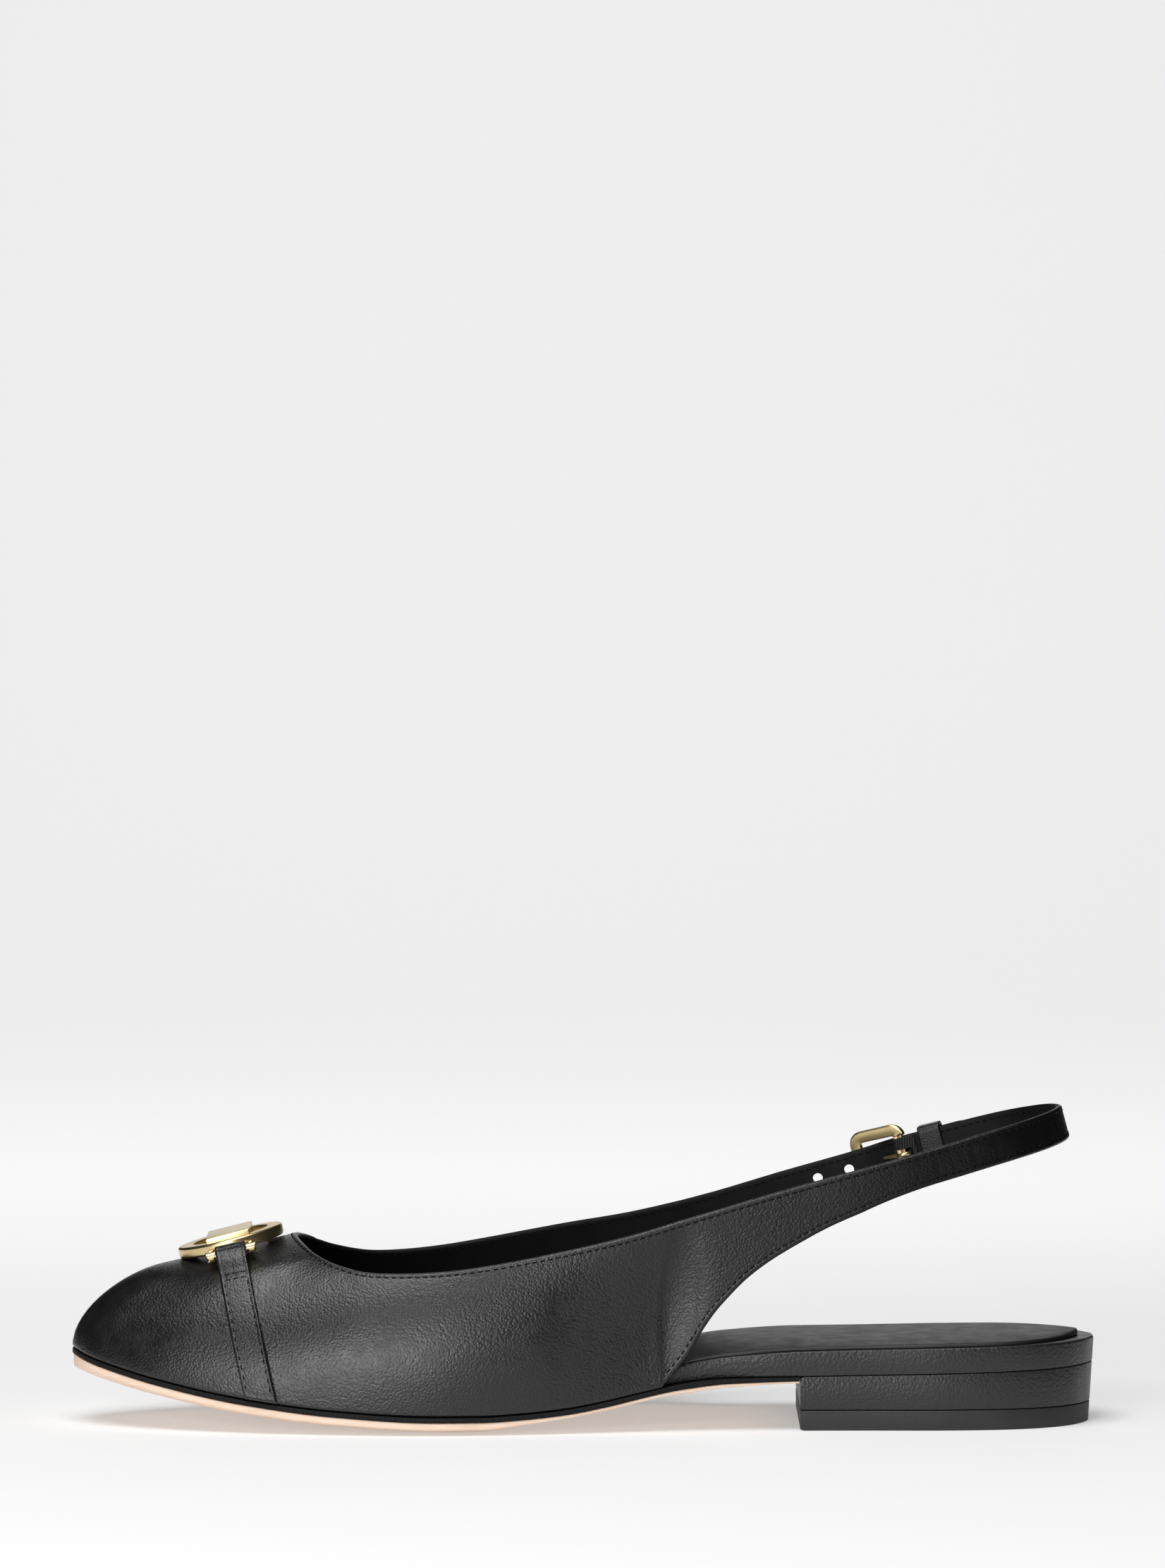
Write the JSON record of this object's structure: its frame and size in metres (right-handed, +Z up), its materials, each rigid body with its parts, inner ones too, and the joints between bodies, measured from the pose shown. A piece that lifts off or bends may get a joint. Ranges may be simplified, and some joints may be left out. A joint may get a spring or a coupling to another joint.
{
  "type": "sling back flat",
  "caption": "Right-foot sling back flat in black leather with a round toe, open heel, ring ornament on the vamp, buckled heel strap and a tan outsole.",
  "frame": {"origin": "on the floor, in the middle of the shoe's length and width", "axes": "+X runs from the toe to the heel, +Y to the outer (lateral) side, +Z up"},
  "size_m": [0.2549, 0.0782, 0.079],
  "materials": {
    "black_leather": "satin, fine pebbled grain",
    "wrapped_leather": "satin, fine grain",
    "sock_leather": "smooth matt",
    "black_edge": "matt, stitched edge",
    "tan_leather": "matt, undyed",
    "rubber": "matt",
    "gold": "polished, pale gold plate"
  },
  "bodies": {
    "root": {"outsole": "tan_leather", "rand": "black_edge", "platform": "wrapped_leather", "sock": "sock_leather", "heel": "wrapped_leather", "top_lift": "rubber", "upper": "black_leather", "vamp_strap_medial": "black_leather", "vamp_strap_lateral": "black_leather", "ornament": "gold", "buckle_frame": "gold", "buckle_prong": "gold", "strap_keeper": "black_leather"}
  },
  "joints": []
}
